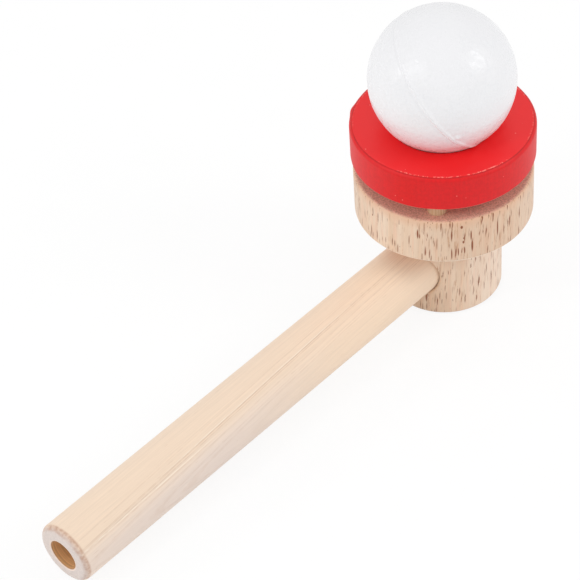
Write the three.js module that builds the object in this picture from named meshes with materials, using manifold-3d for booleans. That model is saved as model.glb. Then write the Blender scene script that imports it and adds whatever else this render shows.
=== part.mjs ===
// Blow ball pipe: a wooden mouth tube, a turned head, a red ring on three pegs and a foam ball.
// Lengths are in millimetres. +Z is up along the head's axis and +X runs along the tube to its mouth.
// The origin is the centre of the foot, the flat face under the head.

import * as THREE from 'three';
import { mergeVertices } from 'three/addons/utils/BufferGeometryUtils.js';
import Module from 'manifold-3d';

const wasm = await Module();
wasm.setup();

// Turned head: a stem that carries a wider disc
const STEM_DIAMETER = 31.9;
const STEM_HEIGHT = 26.9;
const FOOT_ROUND = 0.9;
const NECK_ROUND = 0.8;
const DISC_DIAMETER = 49;
const DISC_HEIGHT = 14.4;
const DISC_ROUND = 0.9;
const AIR_CHANNEL_DIAMETER = 8;

// Mouth tube, a straight dowel with a bore
const TUBE_DIAMETER = 16.65;
const TUBE_BORE_DIAMETER = 8.45;
const TUBE_REACH = 147.6;
const TUBE_AXIS_HEIGHT = 13.3;
const MOUTH_ROUND = 1.8;
const BORE_EDGE_ROUND = 0.5;
const SOCKET_DEPTH = 11;
const SOCKET_CLEARANCE = 0.3;
const INNER_END_BEVEL = 0.5;

// Pegs that hold the ring above the disc
const PEG_COUNT = 3;
const PEG_DIAMETER = 5.2;
const PEG_CIRCLE_DIAMETER = 38.8;
const FIRST_PEG_ANGLE = 34.3;
const PEG_DEPTH_IN_DISC = 8;
const PEG_DEPTH_IN_RING = 6;
const PEG_END_BEVEL = 0.5;
const PEG_CLEARANCE = 0.15;
const RING_GAP = 4.65;

// Red ring
const RING_DIAMETER = 50;
const RING_HEIGHT = 10.3;
const RING_HOLE_DIAMETER = 28.2;
const RING_TOP_ROUND = 0.8;
const RING_BOTTOM_ROUND = 0.35;
const SEAT_ROUND = 0.8;

// Foam ball with the raised seam of its mould
const BALL_DIAMETER = 39.5;
const SEAT_CLEARANCE = 0.3;
const SEAM_WIDTH = 1.5;
const SEAM_HEIGHT = 0.18;
const SEAM_POLE_AZIMUTH = 124.7;
const SEAM_POLE_ELEVATION = 31.9;

// How far a cut runs past the face that it opens
const CUT_OVERRUN = 1;

// Steps of the round shapes
const HEAD_SEGMENTS = 80;
const TUBE_SEGMENTS = 48;
const PEG_SEGMENTS = 24;
const BALL_SEGMENTS = 56;
const EDGE_STEPS = 2;
const BALL_HALF_STEPS = 6;
const SEAM_STEPS = 4;

// Places that follow from the sizes above
const stemRadius = STEM_DIAMETER / 2;
const discRadius = DISC_DIAMETER / 2;
const discTop = STEM_HEIGHT + DISC_HEIGHT;
const socketBottom = stemRadius - SOCKET_DEPTH;
const tubeRadius = TUBE_DIAMETER / 2;
const boreRadius = TUBE_BORE_DIAMETER / 2;
const pegRadius = PEG_DIAMETER / 2;
const pegBottom = discTop - PEG_DEPTH_IN_DISC;
const ringBottom = discTop + RING_GAP;
const ringTop = ringBottom + RING_HEIGHT;
const pegTop = ringBottom + PEG_DEPTH_IN_RING;
const ballRadius = BALL_DIAMETER / 2;

// The ball rests on the rounded upper edge of the ring's hole, a clearance away from it
function ballCentreHeight() {
  const reach = ballRadius + SEAT_CLEARANCE + SEAT_ROUND;
  const seatRadius = RING_HOLE_DIAMETER / 2 + SEAT_ROUND;
  return ringTop - SEAT_ROUND + Math.sqrt(reach ** 2 - seatRadius ** 2);
}

const materials = {
  headWood: new THREE.MeshStandardMaterial({ color: 0xe2c9ae, roughness: 0.62, metalness: 0 }),
  tubeWood: new THREE.MeshStandardMaterial({ color: 0xf0dac3, roughness: 0.58, metalness: 0 }),
  pegWood: new THREE.MeshStandardMaterial({ color: 0xd2b392, roughness: 0.7, metalness: 0 }),
  redLacquer: new THREE.MeshStandardMaterial({ color: 0xd9262b, roughness: 0.38, metalness: 0 }),
  whiteFoam: new THREE.MeshStandardMaterial({ color: 0xf1f1f2, roughness: 0.6, metalness: 0 }),
};

// Turns an outline of radius and height about the Z axis; the outline runs up its outer side
function turned(outline, segments) {
  return new THREE.LatheGeometry(outline.getPoints(EDGE_STEPS), segments).rotateX(Math.PI / 2);
}

function cylinder(radius, bottom, top, segments) {
  const outline = new THREE.Path();
  outline.moveTo(0, bottom);
  outline.lineTo(radius, bottom);
  outline.lineTo(radius, top);
  outline.lineTo(0, top);
  return turned(outline, segments);
}

// Lays a geometry that was turned about Z along +X, with its axis at the tube's height
function alongTube(geometry) {
  return geometry.rotateY(Math.PI / 2).translate(0, 0, TUBE_AXIS_HEIGHT);
}

function toSolid(geometry) {
  const bare = geometry.clone();
  bare.deleteAttribute('normal');
  bare.deleteAttribute('uv');
  const merged = mergeVertices(bare);
  return new wasm.Manifold(new wasm.Mesh({
    numProp: 3,
    vertProperties: new Float32Array(merged.attributes.position.array),
    triVerts: new Uint32Array(merged.index.array),
  }));
}

function toGeometry(solid) {
  const mesh = solid.getMesh();
  const geometry = new THREE.BufferGeometry();
  geometry.setAttribute('position', new THREE.BufferAttribute(mesh.vertProperties, 3));
  geometry.setIndex(new THREE.BufferAttribute(mesh.triVerts, 1));
  geometry.computeVertexNormals();
  return geometry;
}

function cutFrom(body, cutters) {
  const cut = cutters.reduce((solid, cutter) => solid.subtract(toSolid(cutter)), toSolid(body));
  return toGeometry(cut);
}

function piece(name, geometry, material) {
  const mesh = new THREE.Mesh(geometry, material);
  mesh.name = name;
  return mesh;
}

// Angle of each peg about the head's axis, in radians
function pegAngles() {
  const spacing = 2 * Math.PI / PEG_COUNT;
  return Array.from({ length: PEG_COUNT }, (_, index) => {
    return THREE.MathUtils.degToRad(FIRST_PEG_ANGLE) + index * spacing;
  });
}

function pegPlace(angle) {
  const radius = PEG_CIRCLE_DIAMETER / 2;
  return new THREE.Vector3(radius * Math.cos(angle), radius * Math.sin(angle), 0);
}

// The holes for the pegs, as cutters between two heights
function pegHoles(bottom, top) {
  return pegAngles().map((angle) => {
    const place = pegPlace(angle);
    return cylinder(pegRadius + PEG_CLEARANCE, bottom, top, PEG_SEGMENTS).translate(place.x, place.y, 0);
  });
}

// Head as it leaves the lathe: foot, stem, disc
function headBlank() {
  const outline = new THREE.Path();
  outline.moveTo(0, 0);
  outline.lineTo(stemRadius - FOOT_ROUND, 0);
  outline.absarc(stemRadius - FOOT_ROUND, FOOT_ROUND, FOOT_ROUND, -Math.PI / 2, 0, false);
  outline.lineTo(stemRadius, STEM_HEIGHT - NECK_ROUND);
  outline.absarc(stemRadius + NECK_ROUND, STEM_HEIGHT - NECK_ROUND, NECK_ROUND, Math.PI, Math.PI / 2, true);
  outline.lineTo(discRadius - DISC_ROUND, STEM_HEIGHT);
  outline.absarc(discRadius - DISC_ROUND, STEM_HEIGHT + DISC_ROUND, DISC_ROUND, -Math.PI / 2, 0, false);
  outline.lineTo(discRadius, discTop - DISC_ROUND);
  outline.absarc(discRadius - DISC_ROUND, discTop - DISC_ROUND, DISC_ROUND, 0, Math.PI / 2, false);
  outline.lineTo(0, discTop);
  return turned(outline, HEAD_SEGMENTS);
}

// Head with the tube's socket, the air way from there up to the disc's top, and the peg holes
function headGeometry() {
  const socketRadius = tubeRadius + SOCKET_CLEARANCE;
  const channelRadius = AIR_CHANNEL_DIAMETER / 2;
  const socket = alongTube(cylinder(socketRadius, socketBottom, stemRadius + CUT_OVERRUN, TUBE_SEGMENTS));
  const airWay = alongTube(cylinder(boreRadius, -channelRadius, stemRadius, TUBE_SEGMENTS));
  const channelBottom = TUBE_AXIS_HEIGHT - boreRadius;
  const channel = cylinder(channelRadius, channelBottom, discTop + CUT_OVERRUN, TUBE_SEGMENTS);
  return cutFrom(headBlank(), [socket, airWay, channel, ...pegHoles(pegBottom, discTop + CUT_OVERRUN)]);
}

// Mouth tube: bored dowel, rounded at the mouth and bevelled at the end in the socket
function tubeGeometry() {
  const innerEnd = socketBottom + SOCKET_CLEARANCE;
  const outline = new THREE.Path();
  outline.moveTo(boreRadius, innerEnd);
  outline.lineTo(tubeRadius - INNER_END_BEVEL, innerEnd);
  outline.lineTo(tubeRadius, innerEnd + INNER_END_BEVEL);
  outline.lineTo(tubeRadius, TUBE_REACH - MOUTH_ROUND);
  outline.absarc(tubeRadius - MOUTH_ROUND, TUBE_REACH - MOUTH_ROUND, MOUTH_ROUND, 0, Math.PI / 2, false);
  outline.lineTo(boreRadius + BORE_EDGE_ROUND, TUBE_REACH);
  outline.absarc(
    boreRadius + BORE_EDGE_ROUND, TUBE_REACH - BORE_EDGE_ROUND, BORE_EDGE_ROUND,
    Math.PI / 2, Math.PI, false,
  );
  outline.lineTo(boreRadius, innerEnd);
  return alongTube(turned(outline, TUBE_SEGMENTS));
}

// Ring as it leaves the lathe: its hole's upper edge is the ball's seat
function ringBlank() {
  const outerRadius = RING_DIAMETER / 2;
  const holeRadius = RING_HOLE_DIAMETER / 2;
  const upper = RING_TOP_ROUND;
  const lower = RING_BOTTOM_ROUND;
  const outline = new THREE.Path();
  outline.moveTo(holeRadius, ringBottom);
  outline.lineTo(outerRadius - lower, ringBottom);
  outline.absarc(outerRadius - lower, ringBottom + lower, lower, -Math.PI / 2, 0, false);
  outline.lineTo(outerRadius, ringTop - upper);
  outline.absarc(outerRadius - upper, ringTop - upper, upper, 0, Math.PI / 2, false);
  outline.lineTo(holeRadius + SEAT_ROUND, ringTop);
  outline.absarc(holeRadius + SEAT_ROUND, ringTop - SEAT_ROUND, SEAT_ROUND, Math.PI / 2, Math.PI, false);
  outline.lineTo(holeRadius, ringBottom);
  return turned(outline, HEAD_SEGMENTS);
}

function ringGeometry() {
  return cutFrom(ringBlank(), pegHoles(ringBottom - CUT_OVERRUN, pegTop));
}

// Peg with a bevel at both ends; its ends sit on the bottoms of its two holes
function pegGeometry() {
  const outline = new THREE.Path();
  outline.moveTo(0, pegBottom);
  outline.lineTo(pegRadius - PEG_END_BEVEL, pegBottom);
  outline.lineTo(pegRadius, pegBottom + PEG_END_BEVEL);
  outline.lineTo(pegRadius, pegTop - PEG_END_BEVEL);
  outline.lineTo(pegRadius - PEG_END_BEVEL, pegTop);
  outline.lineTo(0, pegTop);
  return turned(outline, PEG_SEGMENTS);
}

// Two halves of a ball about Z, with the seam as a low rounded ridge on its equator. The curve's
// control point stands twice as high as the ridge's crest.
function ballGeometry() {
  const seamAngle = SEAM_WIDTH / 2 / ballRadius;
  const lower = new THREE.Path().absarc(0, 0, ballRadius, -Math.PI / 2, -seamAngle, false);
  const upper = new THREE.Path().absarc(0, 0, ballRadius, seamAngle, Math.PI / 2, false);
  const seam = new THREE.QuadraticBezierCurve(
    lower.getPoint(1),
    new THREE.Vector2(ballRadius + 2 * SEAM_HEIGHT, 0),
    upper.getPoint(0),
  );
  const outline = [
    ...lower.getPoints(BALL_HALF_STEPS),
    ...seam.getPoints(SEAM_STEPS).slice(1, -1),
    ...upper.getPoints(BALL_HALF_STEPS),
  ];
  outline[0].x = 0;
  outline[outline.length - 1].x = 0;
  return new THREE.LatheGeometry(outline, BALL_SEGMENTS).rotateX(Math.PI / 2);
}

// Ball on its seat, turned so that the seam's plane faces its pole's direction
function foamBall() {
  const ball = piece('foam_ball', ballGeometry(), materials.whiteFoam);
  const azimuth = THREE.MathUtils.degToRad(SEAM_POLE_AZIMUTH);
  const tilt = Math.PI / 2 - THREE.MathUtils.degToRad(SEAM_POLE_ELEVATION);
  ball.rotation.set(0, tilt, azimuth, 'ZYX');
  ball.position.set(0, 0, ballCentreHeight());
  return ball;
}

function spacerPegs() {
  return pegAngles().map((angle, index) => {
    const peg = piece(`spacer_peg_${index + 1}`, pegGeometry(), materials.pegWood);
    peg.position.copy(pegPlace(angle));
    return peg;
  });
}

const blowPipe = new THREE.Group();
blowPipe.name = 'blow_ball_pipe';
blowPipe.add(piece('turned_head', headGeometry(), materials.headWood));
blowPipe.add(piece('mouth_tube', tubeGeometry(), materials.tubeWood));
blowPipe.add(...spacerPegs());
blowPipe.add(piece('red_ring', ringGeometry(), materials.redLacquer));
blowPipe.add(foamBall());

export default blowPipe;
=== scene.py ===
"""Looks of a wooden blow ball pipe toy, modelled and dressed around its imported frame.

Each sub-assembly is a class that holds its sizes in metres, builds its meshes and gives them
their finish. The finishes draw in millimetres. +Z is up, and +X runs along the tube to its mouth.
"""

import logging
import math
from dataclasses import dataclass
from enum import Enum
from functools import cache, partialmethod
from typing import Callable, Sequence, Union

import bmesh
import bpy
from mathutils import Color, Matrix, Vector, noise


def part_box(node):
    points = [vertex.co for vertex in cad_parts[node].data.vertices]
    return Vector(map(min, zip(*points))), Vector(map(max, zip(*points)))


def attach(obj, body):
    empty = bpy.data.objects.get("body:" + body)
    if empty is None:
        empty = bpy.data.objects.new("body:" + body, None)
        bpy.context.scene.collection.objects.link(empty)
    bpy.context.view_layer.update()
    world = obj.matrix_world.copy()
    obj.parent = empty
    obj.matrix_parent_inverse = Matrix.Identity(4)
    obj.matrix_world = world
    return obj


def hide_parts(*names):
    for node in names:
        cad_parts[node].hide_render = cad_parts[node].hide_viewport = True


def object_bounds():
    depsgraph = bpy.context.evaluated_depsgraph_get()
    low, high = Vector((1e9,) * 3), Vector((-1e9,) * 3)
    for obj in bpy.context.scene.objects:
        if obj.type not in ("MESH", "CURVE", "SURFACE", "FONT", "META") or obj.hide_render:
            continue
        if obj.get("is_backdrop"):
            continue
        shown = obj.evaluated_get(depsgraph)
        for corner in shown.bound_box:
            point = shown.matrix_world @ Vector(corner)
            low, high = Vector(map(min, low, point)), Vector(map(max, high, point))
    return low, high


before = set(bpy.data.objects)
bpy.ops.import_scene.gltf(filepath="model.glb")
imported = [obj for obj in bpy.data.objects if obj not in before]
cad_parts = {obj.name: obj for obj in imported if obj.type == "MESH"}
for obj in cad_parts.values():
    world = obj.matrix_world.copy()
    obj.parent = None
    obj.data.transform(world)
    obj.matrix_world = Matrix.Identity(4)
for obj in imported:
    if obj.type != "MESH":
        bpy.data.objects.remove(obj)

MM = 0.001
OVERRUN = 1 * MM
SHARP = math.radians(18)
LOG = logging.getLogger("blow_ball_pipe")

Triple = tuple[float, float, float]
Span = tuple[float, float]
Waves = tuple[Span, ...]
Value = Union[float, Sequence[float], "Signal"]
Inputs = dict[str | int, Value]
Mesh = bmesh.types.BMesh
Material = bpy.types.Material
Piece = bpy.types.Object


class Body(Enum):
    """The two bodies of the frame that pieces ride on."""

    PIPE = "blow_pipe"
    BALL = "ball"


class Slot(Enum):
    """Names of the toy's materials."""

    HEAD_WOOD = "head_wood"
    TUBE_WOOD = "tube_wood"
    PEG_WOOD = "peg_wood"
    RED_LACQUER = "red_lacquer"
    WHITE_FOAM = "white_foam"


def srgb(red: int, green: int, blue: int) -> Triple:
    """Returns the scene-linear values of a screen colour of 0 to 255 a channel."""
    return tuple(Color((red / 255, green / 255, blue / 255)).from_srgb_to_scene_linear())


class Graph:
    """Adds and links the nodes of one material, world or node group."""

    SHOWING_RAYS = ("Is Camera Ray", "Is Glossy Ray", "Is Transmission Ray")

    def __init__(self, tree: bpy.types.NodeTree) -> None:
        """Starts with an empty tree."""
        self.tree = tree
        self.tree.nodes.clear()

    def add(self, kind: str, inputs: Inputs, **settings: object) -> bpy.types.Node:
        """Adds a node.

        Args:
            kind: The node's type.
            inputs: What each input gets, by name or number: a signal or a constant.
            **settings: Properties of the node itself.

        Returns:
            The new node.
        """
        node = self.tree.nodes.new(kind)
        for name, value in settings.items():
            setattr(node, name, value)
        for name, value in inputs.items():
            socket = node.inputs[name]
            if isinstance(value, Signal):
                self.tree.links.new(value.socket, socket)
            else:
                socket.default_value = (*value[:3], 1.0) if socket.type == "RGBA" else value
        return node

    def signals(self, kind: str, inputs: Inputs, *outputs: str | int, **settings: object) -> list["Signal"]:
        """Adds a node as add does, and returns some of its outputs, by name or number."""
        node = self.add(kind, inputs, **settings)
        return [Signal(self, node.outputs[output]) for output in outputs]

    def signal(self, kind: str, inputs: Inputs, output: str | int = 0, **settings: object) -> "Signal":
        """Adds a node as add does, and returns one of its outputs."""
        return self.signals(kind, inputs, output, **settings)[0]

    def mix(self, share: Value, first: Value, second: Value) -> "Signal":
        """Returns a colour between two colours."""
        return self.signal("ShaderNodeMix", {0: share, 6: first, 7: second}, 2, data_type="RGBA")

    def shade(self, colour: Value, strength: Value) -> "Signal":
        """Returns a colour or vector multiplied by a number."""
        inputs = {0: colour, "Scale": strength}
        return self.signal("ShaderNodeVectorMath", inputs, operation="SCALE")

    def vector(self, across: Value, beside: Value, along: Value) -> "Signal":
        """Returns a vector made of three numbers."""
        return self.signal("ShaderNodeCombineXYZ", {0: across, 1: beside, 2: along})

    def shown(self) -> "Signal":
        """Returns 1 for the rays that show the background: straight, mirrored and passed on."""
        straight, mirrored, passed = self.signals("ShaderNodeLightPath", {}, *self.SHOWING_RAYS)
        return straight.at_least(mirrored).at_least(passed)


@dataclass(frozen=True)
class Signal:
    """What flows out of a node: a number, vector or colour that takes plain operators."""

    graph: Graph
    socket: bpy.types.NodeSocket

    def apply(self, operation: str, other: Value = 0.0) -> "Signal":
        """Returns the result of a Math node on this number and another."""
        return self.graph.signal("ShaderNodeMath", {0: self, 1: other}, operation=operation)

    __add__ = partialmethod(apply, "ADD")
    __sub__ = partialmethod(apply, "SUBTRACT")
    __mul__ = partialmethod(apply, "MULTIPLY")
    __truediv__ = partialmethod(apply, "DIVIDE")
    at_least = partialmethod(apply, "MAXIMUM")
    below = partialmethod(apply, "LESS_THAN")

    def ramp(self, low: Value, high: Value, to_low: float = 0.0, to_high: float = 1.0) -> "Signal":
        """Returns the number moved smoothly from one range to another and held at its ends."""
        inputs = {"Value": self, "From Min": low, "From Max": high, "To Min": to_low, "To Max": to_high}
        return self.graph.signal("ShaderNodeMapRange", inputs, interpolation_type="SMOOTHSTEP")

    def peak(self, centre: float, width: float) -> "Signal":
        """Returns 1 where the number is at a centre, and 0 from the width on."""
        return (self - centre).apply("ABSOLUTE").ramp(width, 0.0)

    def toward(self, colour: Value, share: Value) -> "Signal":
        """Returns the colour moved by a share to another colour."""
        return self.graph.mix(share, self, colour)

    def axes(self) -> list["Signal"]:
        """Returns the three parts of the vector."""
        return self.graph.signals("ShaderNodeSeparateXYZ", {0: self}, 0, 1, 2)

    def mapped(self, move: Sequence[float] = (0, 0, 0), turn: Sequence[float] = (0, 0, 0),
               scale: Sequence[float] = (1, 1, 1)) -> "Signal":
        """Returns the vector scaled, then turned by angles in degrees, then moved."""
        inputs = {0: self, "Location": move, "Rotation": [*map(math.radians, turn)], "Scale": scale}
        return self.graph.signal("ShaderNodeMapping", inputs)

    def distance(self, spot: Sequence[float], *reach: float) -> "Signal":
        """Returns the vector's distance from a spot, counted in the spot's reach along each axis."""
        away = self.mapped([-middle / length for middle, length in zip(spot, reach)],
                           scale=[1 / length for length in reach])
        return self.graph.signal("ShaderNodeVectorMath", {0: away}, "Value", operation="LENGTH")

    def noise(self, scale: float, detail: float = 2.0, roughness: float = 0.5) -> "Signal":
        """Returns a number about 0.5 that varies in space."""
        inputs = {"Vector": self, "Scale": scale, "Detail": detail, "Roughness": roughness}
        return self.graph.signal("ShaderNodeTexNoise", inputs, "Fac")

    def bands(self, scale: float, detail: float = 2.0) -> "Signal":
        """Returns a number about 0.5 that varies along this number only."""
        inputs = {"W": self, "Scale": scale, "Detail": detail}
        return self.graph.signal("ShaderNodeTexNoise", inputs, "Fac", noise_dimensions="1D")


def from_axis(first: Signal, second: Signal) -> Signal:
    """Returns the distance from an axis, given the two coordinates across it."""
    return (first * first + second * second).apply("SQRT")


@dataclass(frozen=True)
class Finish:
    """What every finish sets on its shader beside its colour."""

    roughness: float = 0.5
    specular: float = 0.3
    sheen: float = 0.0
    relief: float = 0.05 * MM


class Surface(Graph):
    """The graph of a new material, which draws in millimetres of the object's coordinates."""

    def __init__(self, name: str) -> None:
        """Makes the material, and finds the object's place and normal.

        Args:
            name: The material's name.
        """
        self.material = bpy.data.materials.new(name)
        self.material.use_nodes = True
        super().__init__(self.material.node_tree)
        place, self.normal = self.signals("ShaderNodeTexCoord", {}, "Object", "Normal")
        self.place = place.mapped(scale=(1 / MM, 1 / MM, 1 / MM))

    def finish(self, looks: Finish, tone: Value, rough: Value, height: Signal) -> Material:
        """Ends the material with one Principled BSDF.

        Args:
            looks: The finish whose constants the shader gets.
            tone: Its colour.
            rough: Its roughness.
            height: Its relief, which stands proud by the finish's relief where it is 1.

        Returns:
            The material.
        """
        bent = self.signal("ShaderNodeBump", {"Height": height, "Distance": looks.relief})
        inputs = {"Base Color": tone, "Roughness": rough, "Normal": bent,
                  "Specular IOR Level": looks.specular, "Sheen Weight": looks.sheen}
        self.add("ShaderNodeOutputMaterial", {0: self.signal("ShaderNodeBsdfPrincipled", inputs)})
        return self.material


class Effect:
    """A node group that takes a place in millimetres and is shared by several finishes."""

    def __init__(self, name: str, settings: Sequence[str], outputs: Sequence[str]) -> None:
        """Makes the group's sockets.

        Args:
            name: The group's name.
            settings: The names of the numbers that the group takes.
            outputs: The names of the numbers that it gives.
        """
        self.tree, self.outputs = bpy.data.node_groups.new(name, "ShaderNodeTree"), outputs
        new_socket = self.tree.interface.new_socket
        new_socket(name="Vector", in_out="INPUT", socket_type="NodeSocketVector")
        for way, labels in (("INPUT", settings), ("OUTPUT", outputs)):
            for label in labels:
                new_socket(name=label, in_out=way, socket_type="NodeSocketFloat")
        self.graph = Graph(self.tree)
        self.sources = self.graph.signals("NodeGroupInput", {}, "Vector", *settings)

    def give(self, *results: Signal) -> "Effect":
        """Links the group's outputs and returns the group."""
        self.graph.add("NodeGroupOutput", dict(zip(self.outputs, results)))
        return self

    def cells(self, place: Signal) -> list[Signal]:
        """Returns the colour of the random cell that a place is in, and its distance from the seed."""
        inputs = {"Vector": place, "Scale": 1.0}
        return self.graph.signals("ShaderNodeTexVoronoi", inputs, "Color", "Distance")

    def use(self, place: Signal, **settings: Value) -> list[Signal]:
        """Puts the group into the tree of a place, and returns its outputs."""
        inputs = {"Vector": place, **settings}
        return place.graph.signals("ShaderNodeGroup", inputs, *self.outputs, node_tree=self.tree)


@cache
def grain() -> Effect:
    """Makes the grain of bare wood: fine fibres, and a slow drift of tone along and across them.

    Returns:
        The effect, whose grain runs along Z.
    """
    effect = Effect("wood_grain", ("Fibres", "Sway"), ("Fibre", "Drift"))
    place, fibres, swaying = effect.sources
    sway = (place.mapped(scale=(0.07, 0.07, 0.03)).noise(1.0, 1.0) - 0.5) * swaying
    across, beside, along = place.axes()
    across, beside = across + sway, beside + sway
    stretched = effect.graph.vector(across * fibres, beside * fibres, along * 0.1)
    swayed = effect.graph.vector(across, beside, along).mapped(scale=(0.3, 0.3, 0.015))
    return effect.give(stretched.noise(1.0, 3.0, 0.6), swayed.noise(1.0))


@cache
def pores() -> Effect:
    """Makes long thin pores along Z: a cell of space holds one pore, and only a share of cells has it.

    Returns:
        The effect, whose mask is up to 1 inside a pore, less in the fainter ones.
    """
    effect = Effect("wood_pores", ("Cell", "Stretch", "Size", "Share", "Clump"), ("Mask",))
    place, cell, stretch, size, share, clumping = effect.sources
    wobble = (place.mapped(scale=(0.7, 0.7, 0.5)).noise(1.0) - 0.5) * 0.45
    across, beside, along = place.axes()
    scaled = effect.graph.vector((across + wobble) / cell, (beside + wobble) / cell, along / cell / stretch)
    colour, distance = effect.cells(scaled)
    chance, girth, depth = colour.axes()
    clump = (place.mapped(scale=(0.11, 0.11, 0.05)).noise(1.0, 1.0) - 0.5) * clumping * 2.0
    outer = size * girth.ramp(0.0, 1.0, 0.55, 1.5)
    inside = distance.ramp(outer, outer * 0.35) * chance.below(share + clump)
    return effect.give(inside * depth.ramp(0.0, 0.9, 0.4, 1.0))


@cache
def specks() -> Effect:
    """Makes small scattered specks, such as dust under lacquer or pits in a skin.

    Returns:
        The effect, whose mask is 1 inside a speck.
    """
    effect = Effect("specks", ("Cell", "Size", "Share"), ("Mask",))
    place, cell, size, share = effect.sources
    colour, distance = effect.cells(effect.graph.shade(place, cell.apply("POWER", -1.0)))
    chance, girth, _ = colour.axes()
    outer = size * (girth + 0.4)
    return effect.give(distance.ramp(outer, outer * 0.4) * chance.below(share))


@dataclass(frozen=True)
class HeadWood(Finish):
    """Bare turned hardwood whose dark pores run along the head's axis."""

    pale: Triple = srgb(236, 213, 190)
    warm: Triple = srgb(228, 198, 170)
    blush: Triple = srgb(232, 196, 169)
    pore: Triple = srgb(138, 74, 40)
    faint_pore: Triple = srgb(184, 132, 92)
    peach: Triple = srgb(226, 182, 150)
    honey: Triple = srgb(196, 150, 112)
    # Painted bounce light: a lighter tone on the stem's +Y side, as if lit by the white table.
    painted_bounce_light: Triple = srgb(252, 238, 224)
    # Painted highlight along the disc's lower eased edge.
    painted_edge_highlight: Triple = srgb(255, 242, 222)
    # End grain of the head, made pinker partly as a painted red reflection of the ring above the disc.
    end_grain: Triple = srgb(216, 170, 149)
    roughness: float = 0.58
    sheen: float = 0.22
    grain_turn: Triple = (1.5, 2.5, 35)
    # In millimetres: the first two to the side, the others from the disc's top and bottom.
    honey_zone: Span = (6.0, 19.0)
    bounce_light_zone: Span = (13.0, 15.8)
    peach_zone: Span = (-4.0, -0.2)
    edge_highlight_zone: Span = (0.35, 0.4)
    # Place, half width and half height of each of the largest pores, in millimetres.
    large_pores: tuple[tuple[float, ...], ...] = (
        (15.6, 18.89, 39.0, 0.44, 0.7), (13.55, 20.41, 35.6, 0.26, 2.2), (13.3, 20.57, 32.0, 0.36, 2.6),
        (15.24, 19.17, 33.7, 0.32, 0.6), (15.0, 19.35, 30.8, 0.24, 1.6), (22.57, 9.54, 36.4, 0.3, 2.0),
        (17.6, 17.05, 29.9, 0.22, 2.4), (16.3, 18.25, 30.5, 0.2, 1.8), (6.4, 23.65, 35.2, 0.26, 3.6))

    def material(self, head: "TurnedHead") -> Material:
        """Makes the material.

        Args:
            head: The head, whose sizes place the tones of its stem and disc.

        Returns:
            The material.
        """
        surface = Surface("head_wood")
        place = surface.place
        upright = place.mapped(turn=self.grain_turn, move=(3, 7, 0))
        fibre, drift = grain().use(upright, Fibres=3.0, Sway=2.0)
        bold = pores().use(upright, Cell=0.58, Stretch=9.0, Size=0.38, Share=0.64, Clump=1.1)[0]
        beside_bold = upright.mapped(move=(20, 11, 5))
        fine = pores().use(beside_bold, Cell=0.4, Stretch=14.0, Size=0.36, Share=0.6, Clump=0.6)[0]
        pits = specks().use(upright.mapped(scale=(1, 1, 0.6)), Cell=3.0, Size=0.1, Share=0.3)[0]
        streak = upright.mapped(scale=(1, 1, 0.09)).noise(0.8)
        tone = surface.mix(drift.ramp(0.3, 0.7), self.pale, self.warm)
        tone = tone.toward(self.blush, streak.ramp(0.45, 0.7, 0.0, 0.75))
        tone = surface.shade(tone, fibre.ramp(0.25, 0.75, 0.92, 1.04))
        _, beside, height = place.axes()
        over_stem, over_disc = height - head.stem_height / MM, height - head.disc_top / MM
        disc, stem = over_stem.ramp(-0.1, 0.1), over_stem.ramp(0.1, -0.1)
        tone = tone.toward(self.honey, beside.ramp(*self.honey_zone) * disc * 0.27)
        # Painted bounce light: the stem's +Y side is made lighter, as if lit by the white table.
        tone = tone.toward(self.painted_bounce_light, beside.ramp(*self.bounce_light_zone) * stem * 0.3)
        tone = tone.toward(self.peach, over_disc.ramp(*self.peach_zone, 0.0, 0.7))
        # Painted highlight: a lighter band along the disc's lower eased edge.
        tone = tone.toward(self.painted_edge_highlight, over_stem.peak(*self.edge_highlight_zone))
        stipple = place.noise(2.2, 2.0, 0.6).ramp(0.32, 0.68, 0.76, 1.16)
        level = surface.normal.axes()[2].apply("ABSOLUTE")
        # Up-facing end grain: the wood's own tone, made pinker partly as a painted red reflection of the
        # ring.
        tone = tone.toward(surface.shade(self.end_grain, stipple), level.ramp(0.6, 0.98))
        open_pores = bold.at_least(pits * 0.9) * level.ramp(0.6, 0.98, 1.0, 0.3)
        for *spot, wide, tall in self.large_pores:
            open_pores = open_pores.at_least(place.distance(spot, wide, wide, tall).ramp(1.0, 0.5))
        tone = tone.toward(self.faint_pore, fine * 0.6).toward(self.pore, open_pores)
        rough = fibre.ramp(0.2, 0.8, self.roughness - 0.05, self.roughness + 0.08)
        return surface.finish(self, tone, rough, fibre * 0.35 - bold - fine * 0.4 - pits * 0.6)


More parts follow.
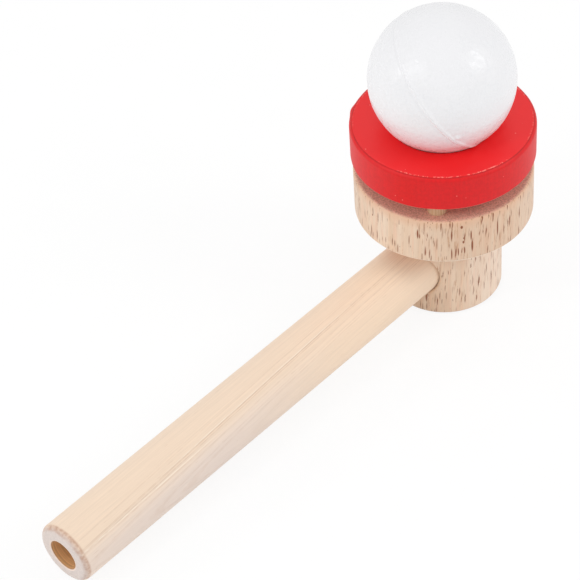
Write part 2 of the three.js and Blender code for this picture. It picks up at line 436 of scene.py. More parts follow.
@dataclass(frozen=True)
class TubeWood(Finish):
    """Bare pale dowel: fine rings that drift across it, end grain at the mouth and a brown bore."""

    cream: Triple = srgb(239, 216, 193)
    # Painted warm bounce light near the head.
    warm: Triple = srgb(244, 219, 193)
    # Grey of the wood, partly painted shade on the tube's +Y side.
    grey_and_painted_shade: Triple = srgb(231, 214, 202)
    line: Triple = srgb(196, 162, 136)
    glint: Triple = srgb(252, 240, 224)
    end_grain: Triple = srgb(217, 204, 197)
    rim: Triple = srgb(190, 152, 130)
    # Painted highlight round the bore's rounded edge.
    painted_lip_highlight: Triple = srgb(244, 222, 206)
    bore: Triple = srgb(224, 176, 124)
    bore_rim: Triple = srgb(150, 104, 66)
    roughness: float = 0.55
    sheen: float = 0.08
    relief: float = 0.03 * MM
    # How far aside two growth rings start, in millimetres, and their slope along the tube.
    late_ring: Span = (3.64, 0.022)
    early_ring: Span = (1.0, 0.036)
    # Stretches along the tube in millimetres, where each tone sets in or fades.
    warm_bounce_zone: Span = (85.0, 30.0)
    grey_and_shade_zone: Span = (50.0, 105.0)
    mouth_zone: Span = (92.0, 112.0)
    head_zone: tuple[Span, Span] = ((30.0, 60.0), (125.0, 100.0))

    def _wall(self, centred: Signal) -> tuple[Signal, Signal]:
        """Colours the tube's outer side, with its growth rings as nearly upright sheets along it.

        Args:
            centred: Place in millimetres, from the tube's axis.

        Returns:
            The colour, and the height of its relief.
        """
        graph = centred.graph
        along, aside, above = centred.axes()
        lengthwise = graph.vector(aside, above, along)
        fibre, _ = grain().use(lengthwise, Fibres=3.2, Sway=0.8)
        fine = pores().use(lengthwise, Cell=0.45, Stretch=14.0, Size=0.17, Share=0.4, Clump=0.4)[0]
        wander = (centred.noise(0.12) - 0.5) * 0.16
        late, early = (aside - start - along * slope + wander
                       for start, slope in (self.late_ring, self.early_ring))
        broken = centred.noise(0.35).ramp(0.3, 0.6, 0.35, 1.0)
        near_mouth = along.ramp(*self.mouth_zone) * broken
        near_head = along.ramp(*self.head_zone[0]) * along.ramp(*self.head_zone[1]) * broken
        # Painted warm bounce light: the tube turns warmer and lighter towards the head, which also lightens
        # the head's shadow on it.
        tone = graph.mix(along.ramp(*self.warm_bounce_zone), self.cream, self.warm)
        # Greyer on the +Y side of the late ring, further along the tube: partly the wood's own tone, partly
        # painted shade.
        tone = tone.toward(self.grey_and_painted_shade, late.ramp(-1.0, 2.2) * along.ramp(*self.grey_and_shade_zone))
        tone = graph.shade(tone, late.bands(1.3).ramp(0.3, 0.7, 0.975, 1.02))
        lined = early.peak(0.8, 5.0) * early.bands(2.3, 1.0).ramp(0.5, 0.66)
        lined = lined * centred.noise(0.5).ramp(0.3, 0.6, 0.4, 1.0)
        tone = tone.toward(self.line, lined * 0.3)
        tone = graph.shade(tone, fibre.ramp(0.25, 0.75, 0.965, 1.02))
        for ring, share in ((late, near_mouth), (early, near_head)):
            tone = tone.toward(self.line, ring.peak(0.24, 0.2) * share * 0.3)
            tone = tone.toward(self.glint, ring.peak(0.0, 0.16) * share * 0.65)
        return tone.toward(self.line, fine * 0.3), fibre * 0.5 - fine * 0.6

    def material(self, tube: "MouthTube") -> Material:
        """Makes the material.

        Args:
            tube: The tube, whose sizes place the tones of its mouth and bore.

        Returns:
            The material.
        """
        surface = Surface("tube_wood")
        centred = surface.place.mapped(move=(0, 0, -tube.axis_height / MM))
        tone, height = self._wall(centred)
        along, aside, above = centred.axes()
        from_mouth, from_bore = along - tube.mouth / MM, from_axis(aside, above) - tube.bore / MM
        facing = surface.normal.axes()[0].apply("ABSOLUTE")
        ends = surface.shade(self.end_grain, centred.noise(1.3, 3.0, 0.7).ramp(0.3, 0.7, 0.94, 1.06))
        tone = tone.toward(ends, facing.ramp(0.35, 0.85))
        band = facing.ramp(0.0, 0.35) * facing.ramp(1.0, 0.75) * from_bore.ramp(0.6, 1.2)
        mottle = centred.noise(0.75, 3.0, 0.6).ramp(0.35, 0.65, 0.35, 1.0)
        uneven_share = (above + aside * 0.6).ramp(-5.0, 5.0, 0.3, 0.85)
        tone = tone.toward(self.rim, band * mottle * uneven_share)
        # Painted highlight: a light line round the bore's rounded edge.
        tone = tone.toward(self.painted_lip_highlight, from_bore.peak(0.25, 0.3) * 0.8)
        drilled = surface.shade(self.bore, along.bands(2.2).ramp(0.3, 0.7, 0.86, 1.1))
        drilled = surface.shade(drilled, along.bands(6.0, 1.0).ramp(0.35, 0.65, 0.9, 1.06))
        drilled = drilled.toward(self.bore_rim, from_mouth.ramp(-0.7, -0.1) * 0.6)
        tone = tone.toward(drilled, from_bore.ramp(0.12, 0.02))
        return surface.finish(self, tone, self.roughness, height)


@dataclass(frozen=True)
class PegWood(Finish):
    """Bare dowel of the pegs, a little browner than the tube."""

    pale: Triple = srgb(226, 196, 162)
    brown: Triple = srgb(190, 152, 114)
    roughness: float = 0.65

    def material(self) -> Material:
        """Makes the material.

        Returns:
            The material.
        """
        surface = Surface("peg_wood")
        fibre, _ = grain().use(surface.place, Fibres=4.0, Sway=0.5)
        fine = pores().use(surface.place, Cell=0.35, Stretch=9.0, Size=0.18, Share=0.5, Clump=1.0)[0]
        tone = surface.mix(fibre.ramp(0.3, 0.7), self.pale, self.brown).toward(self.brown, fine * 0.5)
        return surface.finish(self, tone, self.roughness, fibre)


@dataclass(frozen=True)
class RedLacquer(Finish):
    """Opaque satin red on wood, with faint grain under it, dust specks, painted shade and painted edge
    highlights.
    """

    red: Triple = srgb(238, 28, 32)
    # Darker red of the side and the rim's rounding: painted shade, as the top gets more light.
    side: Triple = srgb(218, 13, 18)
    # Painted shade line along the crease of the rim.
    painted_crease_shade: Triple = srgb(186, 8, 14)
    # Pale pink of the painted edge highlights and of the dust specks.
    painted_highlight_and_dust: Triple = srgb(255, 158, 146)
    roughness: float = 0.34
    side_roughness: float = 0.48
    specular: float = 0.33
    relief: float = 0.02 * MM
    # Place and half width in millimetres, from the edge of the ring's flat top, of the painted shade line
    # and the painted highlights.
    crease_shade_zone: Span = (0.12, 0.28)
    painted_light_zone: Span = (-0.25, 0.36)

    def material(self, ring: "RedRing") -> Material:
        """Makes the material.

        Args:
            ring: The ring, whose sizes place the painted shade line and painted edge highlights.

        Returns:
            The material.
        """
        surface = Surface("red_lacquer")
        place = surface.place
        across, beside, above = place.axes()
        from_edge = from_axis(across, beside) + (ring.rim_inset() - ring.radius) / MM
        fibre, _ = grain().use(place, Fibres=1.8, Sway=1.0)
        dust = specks().use(place, Cell=2.4, Size=0.085, Share=0.35)[0]
        flat = surface.normal.axes()[2].ramp(0.94, 0.99)
        side = surface.shade(self.side, fibre.ramp(0.25, 0.75, 0.97, 1.03))
        side = surface.shade(side, place.noise(1.1, 3.0, 0.6).ramp(0.35, 0.65, 0.955, 1.045))
        # Painted shade: the side and the rim's rounding take the darker red, the flat top the lit red.
        tone = side.toward(self.red, flat)
        upper = (above - ring.top / MM).ramp(-0.5, -0.1)
        # Painted highlights: pale broken bits along the rim's crease, more towards the front.
        uneven_share = place.noise(1.3, 3.0, 0.7).ramp(0.5, 0.58)
        uneven_share = uneven_share * place.mapped(move=(5, 3, 0)).noise(0.11, 1.0).ramp(0.42, 0.58)
        uneven_share = uneven_share * (across + beside).ramp(16.0, 30.0, 0.3, 1.0)
        shade_line_breakup = place.noise(0.3).ramp(0.35, 0.6, 0.5, 1.0)
        # Painted shade: a dark line along the crease between the flat top and the rim's rounding, broken up
        # by noise.
        tone = tone.toward(self.painted_crease_shade, from_edge.peak(*self.crease_shade_zone) * upper * shade_line_breakup)
        tone = tone.toward(self.painted_highlight_and_dust, from_edge.peak(*self.painted_light_zone) * upper * uneven_share * 0.95)
        # Dust specks under the lacquer.
        tone = tone.toward(self.painted_highlight_and_dust, dust * 0.85)
        # Painted reflection: the ring's lower edge is paler, as if reflecting the pale wood below.
        tone = tone.toward(self.painted_highlight_and_dust, (above - ring.bottom / MM).ramp(0.45, 0.1) * 0.3)
        rough = flat.ramp(0.0, 1.0, self.side_roughness, self.roughness)
        return surface.finish(self, tone, rough, place.noise(1.6) * 0.4 + fibre * 0.6 + dust)


@dataclass(frozen=True)
class WhiteFoam(Finish):
    """Moulded bead foam: a white skin with faint bead outlines, soft lumps and wrinkles."""

    white: Triple = srgb(236, 236, 238)
    shade: Triple = srgb(231, 232, 235)
    painted_red_bounce: Triple = srgb(238, 60, 60)
    roughness: float = 0.3
    specular: float = 0.45
    relief: float = 0.024 * MM
    beads_per_mm: float = 0.36
    # Heights in millimetres between which the ring's red reflection is painted on.
    painted_light_zone: Span = (76.0, 60.0)
    # Middles of the most wrinkled patches, and where the wrinkles set in and are full, in millimetres.
    wrinkled: tuple[Triple, ...] = ((15.0, 1.3, 82.9), (2.8, 14.2, 83.5), (7.4, 16.6, 77.8))
    wrinkled_zone: Span = (5.5, 2.5)

    def material(self) -> Material:
        """Makes the material.

        Returns:
            The material.
        """
        surface = Surface("white_foam")
        place = surface.place
        inputs = {"Vector": place, "Scale": self.beads_per_mm}
        beads, outline = (surface.signal("ShaderNodeTexVoronoi", inputs, "Distance", feature=feature)
                          for feature in ("SMOOTH_F1", "DISTANCE_TO_EDGE"))
        groove = outline.ramp(0.13, 0.0) * place.noise(0.11).ramp(0.42, 0.62)
        creased = place.mapped(move=(9, 4, 2)).noise(0.09, 1.0).ramp(0.36, 0.58)
        for spot in self.wrinkled:
            creased = creased.at_least(place.distance(spot, 1, 1, 1).ramp(*self.wrinkled_zone))
        wrinkle = place.noise(0.75, 1.0) * (creased + 0.04)
        tone = surface.mix(groove * 0.35, self.white, self.shade)
        # Painted red reflection of the ring on the ball's lower part.
        tone = tone.toward(self.painted_red_bounce, place.axes()[2].ramp(*self.painted_light_zone) * 0.06)
        rough = place.noise(0.5, 1.0).ramp(0.3, 0.7, self.roughness - 0.08, self.roughness + 0.14)
        return surface.finish(self, tone, rough, wrinkle * 5.5 - beads * 0.7 - groove * 0.3)


def held(share: float) -> float:
    """Returns a share held between 0 and 1."""
    return min(1.0, max(0.0, share))


def ripple(place: Vector, waves: Waves) -> float:
    """Returns a sum of noises at a place, each given by its strength and the length of its waves."""
    return sum(strength * noise.noise(place / length) for strength, length in waves)


def moved(mesh: Mesh, matrix: Matrix) -> Mesh:
    """Moves a whole mesh, and returns it."""
    bmesh.ops.transform(mesh, matrix=matrix, verts=mesh.verts)
    return mesh


def shift(mesh: Mesh, move: Callable[[Vector], Vector]) -> None:
    """Moves each vertex of a mesh by what a function of its place gives."""
    for vert in mesh.verts:
        vert.co += move(vert.co)


class Profile:
    """An outline of radius and height that is turned about Z, with straight and round stretches."""

    SUPPORT = 0.15 * MM
    MERGED = 0.0015 * MM
    ARC_STEP = 9.0

    def __init__(self, radius: float, height: float) -> None:
        """Starts the outline at a point."""
        self.points = [Vector((radius, 0, height))]

    def line(self, radius: float, height: float) -> "Profile":
        """Adds a straight stretch with a support point near each end.

        Args:
            radius: Radius at the stretch's end.
            height: Height at the stretch's end.

        Returns:
            The profile itself.
        """
        start, end = self.points[-1], Vector((radius, 0, height))
        length = (end - start).length
        if length > 4 * self.SUPPORT:
            share = self.SUPPORT / length
            self.points += [start.lerp(end, share), start.lerp(end, 1 - share)]
        if length > self.MERGED:
            self.points.append(end)
        return self

    def arc(self, centre: Span, bend: float, start: float, end: float, steps: int = 0) -> "Profile":
        """Adds a straight stretch up to an arc, and the arc.

        Args:
            centre: Radius and height of the arc's centre.
            bend: The arc's own radius.
            start: Angle at its start, in degrees from straight outwards.
            end: Angle at its end.
            steps: Number of its steps, or 0 for the usual one.

        Returns:
            The profile itself.
        """
        steps = steps or math.ceil(abs(end - start) / self.ARC_STEP)
        turns = [math.radians(start + (end - start) * step / steps) for step in range(steps + 1)]
        places = [(centre[0] + bend * math.cos(turn), centre[1] + bend * math.sin(turn)) for turn in turns]
        self.line(*places[0])
        self.points += [Vector((across, 0, up)) for across, up in places[1:]]
        return self

    def turn(self, segments: int) -> Mesh:
        """Turns the outline about Z into a closed surface.

        Args:
            segments: Number of steps round the axis.

        Returns:
            A mesh with its doubles merged and its faces pointing out.
        """
        mesh = bmesh.new()
        verts = [mesh.verts.new(point) for point in self.points]
        edges = [mesh.edges.new(pair) for pair in zip(verts, verts[1:])]
        bmesh.ops.spin(mesh, geom=verts + edges, cent=(0, 0, 0), axis=(0, 0, 1), angle=2 * math.pi,
                       steps=segments, use_merge=True, use_duplicate=False)
        bmesh.ops.remove_doubles(mesh, verts=mesh.verts, dist=self.MERGED)
        bmesh.ops.recalc_face_normals(mesh, faces=mesh.faces)
        return mesh


def stock(name: str, mesh: Mesh) -> Piece:
    """Makes an object of a mesh and frees the mesh.

    Args:
        name: The object's name.
        mesh: The mesh to take over.

    Returns:
        The object, linked to the scene.
    """
    data = bpy.data.meshes.new(name)
    mesh.to_mesh(data)
    mesh.free()
    piece = bpy.data.objects.new(name, data)
    bpy.context.scene.collection.objects.link(piece)
    return piece


def bar(radius: float, bottom: float, top: float, segments: int = 96) -> Mesh:
    """Makes a plain round bar about Z, as a cutter.

    Args:
        radius: The bar's radius.
        bottom: Height of its lower end.
        top: Height of its upper end.
        segments: Number of its sides.

    Returns:
        The bar's mesh.
    """
    mesh = bmesh.new()
    middle = Matrix.Translation((0, 0, (bottom + top) / 2))
    bmesh.ops.create_cone(mesh, cap_ends=True, segments=segments, radius1=radius, radius2=radius,
                          depth=top - bottom, matrix=middle)
    return mesh


def carve(piece: Piece, cutters: Sequence[Mesh]) -> None:
    """Cuts holes into a piece.

    Args:
        piece: The piece to cut.
        cutters: Closed meshes of the space to take out.
    """
    tools = [stock(f"cutter_{number}", cutter) for number, cutter in enumerate(cutters)]
    for tool in tools:
        cut = piece.modifiers.new("cut", "BOOLEAN")
        cut.operation, cut.solver, cut.object = "DIFFERENCE", "MANIFOLD", tool
    evaluated = piece.evaluated_get(bpy.context.evaluated_depsgraph_get())
    piece.data = bpy.data.meshes.new_from_object(evaluated)
    piece.modifiers.clear()
    for tool in tools:
        bpy.data.objects.remove(tool)


def deliver(piece: Piece, body: Body, node: str, material: Material) -> None:
    """Shades a piece and gives it to the frame in place of its node.

    Args:
        piece: The finished piece.
        body: The body that it rides on.
        node: The node that it stands for.
        material: Its finish.
    """
    piece.data.materials.clear()
    piece.data.materials.append(material)
    piece.data.shade_smooth()
    piece.data.set_sharp_from_angle(angle=SHARP)
    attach(piece, body.value)
    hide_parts(node)
    LOG.info("%s: %d faces on %s", piece.name, len(piece.data.polygons), body.value)


@dataclass
class MouthTube:
    """The bored dowel that is blown into, lying along +X."""

    radius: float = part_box("mouth_tube")[1].y
    mouth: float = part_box("mouth_tube")[1].x
    inner_end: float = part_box("mouth_tube")[0].x
    axis_height: float = (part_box("mouth_tube")[0].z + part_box("mouth_tube")[1].z) / 2
    bore: float = 4.22 * MM
    mouth_round: float = 1.8 * MM
    bore_round: float = 0.4 * MM
    inner_bevel: float = 0.4 * MM
    unevenness: Waves = ((0.08 * MM, 4 * MM),)
    segments: int = 160

    def lay(self, mesh: Mesh) -> Mesh:
        """Lays a mesh that was turned about Z along the tube's axis, and returns it."""
        flat = Matrix.Rotation(math.pi / 2, 4, "Y")
        return moved(mesh, Matrix.Translation((0, 0, self.axis_height)) @ flat)

    def _outline(self) -> Profile:
        """Draws the tube's wall.

        Returns:
            An outline that closes on itself.
        """
        outer, inner = self.mouth_round, self.bore_round
        outline = Profile(self.bore, self.inner_end).line(self.radius - self.inner_bevel, self.inner_end)
        outline.line(self.radius, self.inner_end + self.inner_bevel)
        outline.arc((self.radius - outer, self.mouth - outer), outer, 0, 90)
        outline.arc((self.bore + inner, self.mouth - inner), inner, 90, 180)
        return outline.line(self.bore, self.inner_end)

    def _worn(self, place: Vector) -> Vector:
        """Returns how far hand sanding leaves the mouth's rounding from a true one."""
        depth = held(1 - abs(self.mouth - self.mouth_round / 2 - place.x) / self.mouth_round)
        return Vector((-abs(ripple(place, self.unevenness)) * depth, 0, 0))

    def build(self) -> None:
        """Builds and dresses the tube."""
        mesh = self.lay(self._outline().turn(self.segments))
        shift(mesh, self._worn)
        piece = stock("dowel_tube", mesh)
        deliver(piece, Body.PIPE, "mouth_tube", TubeWood().material(self))


@dataclass
class Pegs:
    """The three dowels between the disc and the ring."""

    nodes: tuple[str, ...] = ("spacer_peg_1", "spacer_peg_2", "spacer_peg_3")
    radius: float = 2.6 * MM
    bevel: float = 0.35 * MM
    glue_gap: float = 0.05 * MM
    segments: int = 64

    def moves(self) -> list[Matrix]:
        """Returns the move from the head's axis to each peg."""
        centres = [(low + high) / 2 for low, high in map(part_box, self.nodes)]
        return [Matrix.Translation((centre.x, centre.y, 0)) for centre in centres]

    def holes(self, bottom: float, top: float) -> list[Mesh]:
        """Returns the cutters of the peg holes, from a lower to an upper height."""
        size = self.radius + self.glue_gap
        return [moved(bar(size, bottom, top, self.segments), move) for move in self.moves()]

    def build(self) -> None:
        """Builds and dresses the pegs."""
        material = PegWood().material()
        for node, move in zip(self.nodes, self.moves()):
            low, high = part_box(node)
            outline = Profile(0, low.z).line(self.radius - self.bevel, low.z)
            outline.line(self.radius, low.z + self.bevel).line(self.radius, high.z - self.bevel)
            outline.line(self.radius - self.bevel, high.z).line(0, high.z)
            piece = stock(f"dowel_{node}", moved(outline.turn(self.segments), move))
            deliver(piece, Body.PIPE, node, material)


@dataclass
class TurnedHead:
    """The turned head: a stem with a flat foot below and a wider disc on top."""

    tube: MouthTube
    pegs: Pegs
    disc_radius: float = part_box("turned_head")[1].x
    disc_top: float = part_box("turned_head")[1].z
    stem_radius: float = 15.95 * MM
    stem_height: float = 26.9 * MM
    foot_round: float = 0.9 * MM
    neck_round: float = 0.8 * MM
    disc_round: float = 0.9 * MM
    socket_depth: float = 11 * MM
    socket_gap: float = 0.06 * MM
    socket_blunt: float = 0.8 * MM
    channel_radius: float = 4 * MM
    peg_depth: float = 8 * MM
    segments: int = 192
    blunt_steps: int = 8

    def _outline(self) -> Profile:
        """Draws the head as the lathe leaves it.

        Returns:
            Its outline from the foot's middle to the disc's.
        """
        foot, neck, edge = self.foot_round, self.neck_round, self.disc_round
        outline = Profile(0, 0).arc((self.stem_radius - foot, foot), foot, -90, 0)
        outline.arc((self.stem_radius + neck, self.stem_height - neck), neck, 180, 90)
        outline.arc((self.disc_radius - edge, self.stem_height + edge), edge, -90, 0)
        outline.arc((self.disc_radius - edge, self.disc_top - edge), edge, 0, 90)
        return outline.line(0, self.disc_top)

    def _socket_section(self, turn: float) -> list[Vector]:
        """Works out one section of the socket's wall and of the blunted edge round its mouth.

        Args:
            turn: Angle about the tube's axis, 0 at +Y.

        Returns:
            Points from the inner end out, each as X and the distance from the tube's axis.
        """
        wall, blunt = self.tube.radius + self.socket_gap, self.socket_blunt
        saddle = math.sqrt(self.stem_radius ** 2 - (wall * math.cos(turn)) ** 2)
        slope = -wall * math.cos(turn) ** 2 / saddle
        centre = Vector((saddle + (slope - math.hypot(1, slope)) * blunt, wall + blunt))
        first, last = -math.pi / 2, math.atan(-slope)
        angles = [first + (last - first) * step / self.blunt_steps for step in range(self.blunt_steps + 1)]
        edge = [centre + blunt * Vector((math.cos(angle), math.sin(angle))) for angle in angles]
        beyond = (self.stem_radius + OVERRUN - centre.x) * Vector((1, -slope))
        return [Vector((self.stem_radius - self.socket_depth, wall)), *edge, centre + beyond]

    def _socket(self) -> Mesh:
        """Makes the cutter of the tube's socket.

        Returns:
            The closed cutter.
        """
        mesh = bmesh.new()
        loops = []
        for number in range(len(self._socket_section(0))):
            ring = bmesh.ops.create_circle(mesh, segments=self.tube.segments, radius=1)["verts"]
            for vert in ring:
                turn = math.atan2(vert.co.y, vert.co.x)
                along, radius = self._socket_section(turn)[number]
                vert.co = (along, radius * math.cos(turn), self.tube.axis_height + radius * math.sin(turn))
            loops.append(list({edge for vert in ring for edge in vert.link_edges}))
        for first, second in zip(loops, loops[1:]):
            bmesh.ops.bridge_loops(mesh, edges=first + second)
        bmesh.ops.holes_fill(mesh, edges=mesh.edges, sides=0)
        bmesh.ops.recalc_face_normals(mesh, faces=mesh.faces)
        return mesh

    def build(self) -> None:
        """Builds and dresses the head."""
        piece = stock("hardwood_head", self._outline().turn(self.segments))
        air_way = bar(self.tube.bore, -self.channel_radius, self.stem_radius - OVERRUN)
        floor, above = self.tube.axis_height - self.tube.bore, self.disc_top + OVERRUN
        channel = bar(self.channel_radius, floor, above)
        holes = self.pegs.holes(self.disc_top - self.peg_depth, above)
        carve(piece, [self._socket(), self.tube.lay(air_way), channel, *holes])
        deliver(piece, Body.PIPE, "turned_head", HeadWood().material(self))


@dataclass
class RedRing:
    """The lacquered ring that the ball sits on."""

    pegs: Pegs
    radius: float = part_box("red_ring")[1].x
    bottom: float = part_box("red_ring")[0].z
    top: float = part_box("red_ring")[1].z
    hole_radius: float = 13.72 * MM
    edge_round: float = 0.35 * MM
    rim_round: float = 1.19 * MM
    rim_end: float = 70.0
    seat_round: float = 0.8 * MM
    peg_depth: float = 6 * MM
    dent_depth: float = 0.1 * MM
    dents: Waves = ((0.5, 1.1 * MM), (1.0, 3.7 * MM))
    drip_azimuth: float = math.radians(296)
    drip_width: float = 2.0 * MM
    drip_length: float = 3.5 * MM
    drip_height: float = 0.4 * MM
    segments: int = 320

    def rim_inset(self) -> float:
        """Returns how far the flat top ends inside the outer side."""
        return self.rim_round * (1 - math.cos(math.radians(self.rim_end)))

    def _outline(self) -> Profile:
        """Draws the ring's section.

        Returns:
            An outline that closes on itself.
        """
        edge, rim, seat = self.edge_round, self.rim_round, self.seat_round
        drop = rim * math.sin(math.radians(self.rim_end))
        outline = Profile(self.hole_radius, self.bottom)
        outline.arc((self.radius - edge, self.bottom + edge), edge, -90, 0)
        outline.line(self.radius, self.top - self.drip_length)
        outline.arc((self.radius - rim, self.top - drop), rim, 0, self.rim_end)
        outline.arc((self.hole_radius + seat, self.top - seat), seat, 90, 180)
        return outline.line(self.hole_radius, self.bottom)

    def _dented(self, place: Vector) -> Vector:
        """Works out how knocks and a drip of lacquer move a point near the outer edges.

        Args:
            place: The point.

        Returns:
            Its move.
        """
        outward, below = Vector((place.x, place.y, 0)), self.top - place.z
        near_rim = held(1 - (self.radius - outward.length) / (self.rim_inset() + Profile.SUPPORT))
        near_top = held(1 - below / (self.rim_round + Profile.SUPPORT))
        near_bottom = held(1 - (place.z - self.bottom) / (3 * self.edge_round))
        outward.normalize()
        dent = self.dent_depth * near_rim * max(near_top, near_bottom) * max(0.0, ripple(place, self.dents))
        slanted = outward + Vector((0, 0, 1 if near_top > near_bottom else -1))
        dripped = Vector((math.cos(self.drip_azimuth), math.sin(self.drip_azimuth), 0))
        away = (outward - dripped).length * self.radius / self.drip_width
        fade = held((self.drip_length - below) / (self.drip_length - self.rim_round))
        drip = self.drip_height * near_rim * fade * math.exp(-away ** 2)
        return drip * outward - dent * slanted.normalized()

    def build(self) -> None:
        """Builds and dresses the ring."""
        mesh = self._outline().turn(self.segments)
        shift(mesh, self._dented)
        piece = stock("lacquered_ring", mesh)
        carve(piece, self.pegs.holes(self.bottom - OVERRUN, self.bottom + self.peg_depth))
        deliver(piece, Body.PIPE, "red_ring", RedLacquer().material(self))


@dataclass(frozen=True)
class Mark:
    """A small round lump or pit on the ball."""

    direction: Triple
    width: float
    height: float
    sharpness: float = 1.6

    def lift(self, out: Vector, radius: float) -> float:
        """Returns how far the mark moves the ball's surface in a direction."""
        away = (out - Vector(self.direction)).length * radius / self.width
        return self.height * math.exp(-(self.sharpness * away) ** 2)


@dataclass
class FoamBall:
    """The moulded foam ball with the raised seam of its two mould halves."""

    radius: float = (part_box("foam_ball")[1].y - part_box("foam_ball")[0].y) / 2
    height: float = (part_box("foam_ball")[0].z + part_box("foam_ball")[1].z) / 2
    seam_zone: float = 1.3 * MM
    seam_width: float = 0.55 * MM
    seam_height: float = 0.5 * MM
    seam_azimuth: float = math.radians(125.1)
    seam_elevation: float = math.radians(35.0)
    seam_wobble: Waves = ((0.22 * MM, 4 * MM),)
    seam_mean: float = 0.8
    seam_swing: Waves = ((0.6, 5 * MM),)
    # Height, sharpness and place of the ridge, the groove along its top and the one beside it.
    seam_section: tuple[Triple, ...] = ((1.0, 1.0, 0.0), (-0.45, 3.2, 0.0), (-0.3, 1.8, -1.6))
    # Where the seat presses the seam flat and wear thins it near the top, as shares of the radius.
    seat: Span = (-0.708, 0.05)
    wear_start: float = 0.5
    wear_fade: float = 0.2
    top_wear: float = 0.8
    lump_depth: float = 0.05 * MM
    lumps: Waves = ((1.0, 6 * MM), (0.5, 2.2 * MM))
    marks: tuple[Mark, ...] = (
        Mark((0.603, 0.754, -0.261), 0.95 * MM, 0.5 * MM), Mark((0.602, 0.606, 0.52), 0.55 * MM, 0.2 * MM),
        Mark((0.377, 0.825, 0.421), 1.3 * MM, 0.1 * MM), Mark((0.896, 0.361, 0.26), 0.8 * MM, -0.14 * MM),
        Mark((0.51, 0.64, -0.575), 1.3 * MM, -0.4 * MM))
    half_steps: int = 60
    seam_steps: int = 12
    segments: int = 240

    def _outline(self) -> Profile:
        """Draws half a circle from pole to pole, with finer steps at the seam.

        Returns:
            The outline.
        """
        seam = math.degrees(self.seam_zone / self.radius)
        outline = Profile(0, -self.radius).arc((0, 0), self.radius, -90, -seam, self.half_steps)
        outline.arc((0, 0), self.radius, -seam, seam, 2 * self.seam_steps)
        return outline.arc((0, 0), self.radius, seam, 90, self.half_steps)

    def _relief(self, place: Vector) -> Vector:
        """Works out how far the mould's seam and the beads push a point out or in.

        Args:
            place: The point, with the seam's plane level.

        Returns:
            Its move.
        """
        from_seam = (place.z - ripple(Vector((place.x, place.y, 0)), self.seam_wobble)) / self.seam_width
        ridge = sum(height * math.exp(-(sharpness * (from_seam - middle)) ** 2)
                    for height, sharpness, middle in self.seam_section)
        proud = self.seam_height * (self.seam_mean + ripple(place, self.seam_swing)) * ridge
        return place.normalized() * (proud + self.lump_depth * (ripple(place, self.lumps) - 1))

    def _marked(self, place: Vector) -> Vector:
        """Works out how far lumps, pits, the seat and wear on the top move a point.

        Args:
            place: The point, with the ball's axis upright.

        Returns:
            Its move.
        """
        out = place.normalized()
        near_seat = math.exp(-((out.z - self.seat[0]) / self.seat[1]) ** 2)
        near_top = self.top_wear * held((out.z - self.wear_start) / self.wear_fade)
        proud = max(0.0, place.length - self.radius)
        lifted = sum(mark.lift(out, self.radius) for mark in self.marks)
        return out * (lifted - max(near_seat, near_top) * proud)

    def build(self) -> None:
        """Builds and dresses the ball."""
        mesh = self._outline().turn(self.segments)
        shift(mesh, self._relief)
        tilt = Matrix.Rotation(math.pi / 2 - self.seam_elevation, 4, "Y")
        shift(moved(mesh, Matrix.Rotation(self.seam_azimuth, 4, "Z") @ tilt), self._marked)
        piece = stock("moulded_ball", moved(mesh, Matrix.Translation((0, 0, self.height))))
        deliver(piece, Body.BALL, "foam_ball", WhiteFoam().material())


@dataclass
class Table:
    """The pale table, and the even light round it.

    The table leans against the head's axis, because the tube's weight tips the toy until its
    mouth end touches down.
    """

    tube: MouthTube
    foot_edge: float = 15 * MM
    side: float = 6.0
    pale: float = 0.9
    seen_pale: float = 1.0
    shadow_share: float = 0.14
    fill: float = 0.8

    def _material(self) -> Material:
        """Makes the table's finish: white to the camera, with only a faint shadow on it.

        Returns:
            The material.
        """
        surface = Surface("pale_table")
        seen = surface.shown()
        tone = seen.ramp(0.0, 1.0, self.pale, self.seen_pale)
        tone = tone * surface.place.noise(0.05).ramp(0.3, 0.7, 0.99, 1.01)
        matt = surface.signal("ShaderNodeBsdfDiffuse", {"Color": surface.vector(tone, tone, tone)})
        glow = surface.signal("ShaderNodeEmission", {"Color": (1, 1, 1), "Strength": 1.0})
        inputs = {0: seen * (1 - self.shadow_share), 1: matt, 2: glow}
        surface.add("ShaderNodeOutputMaterial", {0: surface.signal("ShaderNodeMixShader", inputs)})
        return surface.material

    def _floor(self) -> None:
        """Lays the table's top under the foot's front edge and the mouth."""
        rise = self.tube.axis_height - self.tube.radius
        lean = math.atan2(rise, self.tube.mouth - self.tube.mouth_round - self.foot_edge)
        mesh = bmesh.new()
        bmesh.ops.create_grid(mesh, x_segments=2, y_segments=2, size=self.side / 2)
        tipped = Matrix.Translation((self.foot_edge, 0, 0)) @ Matrix.Rotation(-lean, 4, "Y")
        floor = stock("table_top", moved(mesh, tipped))
        floor.data.materials.append(self._material())
        floor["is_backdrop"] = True

    def build(self) -> None:
        """Builds the table, lights it evenly from all round and shows white behind it."""
        self._floor()
        world = bpy.data.worlds.new("studio")
        bpy.context.scene.world = world
        world.use_nodes = True
        graph = Graph(world.node_tree)
        strength = graph.shown().ramp(0.0, 1.0, self.fill, 1.0)
        sky = graph.signal("ShaderNodeBackground", {"Color": (1, 1, 1), "Strength": strength})
        graph.add("ShaderNodeOutputWorld", {"Surface": sky})


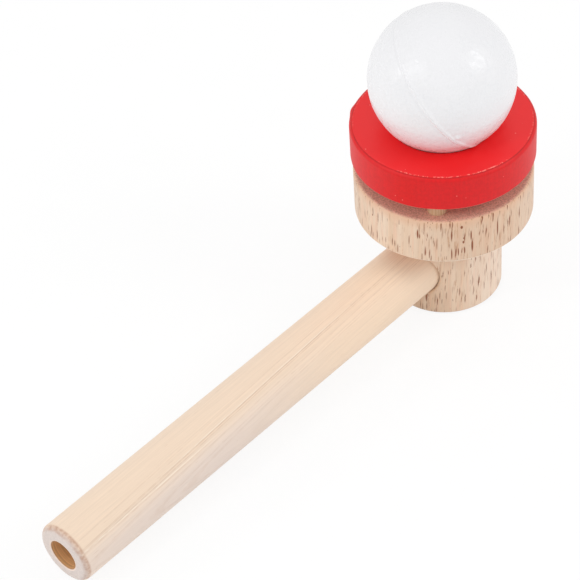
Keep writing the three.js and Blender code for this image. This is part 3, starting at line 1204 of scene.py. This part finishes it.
@dataclass
class Lamp:
    """One soft studio lamp that faces the toy."""

    name: str
    direction: Triple
    size: float
    power: float
    distance: float = 1.1

    def build(self, target: Vector) -> None:
        """Hangs the lamp.

        Args:
            target: The point that it faces.
        """
        data = bpy.data.lights.new(self.name, "AREA")
        data.shape, data.size, data.energy = "DISK", self.size, self.power
        lamp = bpy.data.objects.new(self.name, data)
        away = Vector(self.direction).normalized()
        facing = away.to_track_quat("Z", "Y").to_matrix().to_4x4()
        lamp.matrix_world = Matrix.Translation(target + away * self.distance) @ facing
        lamp.visible_camera = False
        bpy.context.scene.collection.objects.link(lamp)


LAMPS = (
    Lamp("left_box_low", (0.706, -0.552, 0.444), 0.22, 1.6),
    Lamp("left_box_high", (0.724, -0.158, 0.671), 0.16, 1.3),
    Lamp("right_box", (-0.412, 0.704, 0.579), 0.5, 2.4),
)


@dataclass
class Camera:
    """The camera at the photograph's place, solved from the toy's outlines."""

    azimuth: float = math.radians(135.21)
    elevation: float = math.radians(42.85)
    roll: float = math.radians(-4.641)
    aim: Triple = (0, 0, 30 * MM)
    # Where it stands from its aim, along its own axes.
    offset: Triple = (-42.15 * MM, -26.25 * MM, 597.76 * MM)
    focal_pixels: float = 2180.1
    photo_pixels: float = 580
    clips: Span = (10 * MM, 20.0)

    def build(self) -> None:
        """Sets up the scene's camera."""
        data = bpy.data.cameras.new("photo_camera")
        data.lens = data.sensor_width * self.focal_pixels / self.photo_pixels
        data.clip_start, data.clip_end = self.clips
        camera = bpy.data.objects.new("photo_camera", data)
        facing = Matrix.Rotation(self.azimuth, 4, "Z")
        facing @= Matrix.Rotation(math.pi / 2 - self.elevation, 4, "X")
        facing @= Matrix.Rotation(self.roll, 4, "Z")
        camera.matrix_world = Matrix.Translation(self.aim) @ facing @ Matrix.Translation(self.offset)
        bpy.context.scene.collection.objects.link(camera)
        bpy.context.scene.camera = camera


def main() -> None:
    """Builds the toy, its table, its light and its camera."""
    logging.basicConfig(level=logging.INFO, format="%(message)s")
    frame_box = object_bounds()
    LOG.info("frame nodes: %s", ", ".join(sorted(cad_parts)))
    tube, pegs = MouthTube(), Pegs()
    for part in (tube, pegs, TurnedHead(tube, pegs), RedRing(pegs), FoamBall(), Table(tube), Camera()):
        part.build()
    for lamp in LAMPS:
        lamp.build((frame_box[0] + frame_box[1]) / 2)
    bpy.context.scene.view_settings.view_transform = "Standard"


if __name__ == "__main__":
    main()
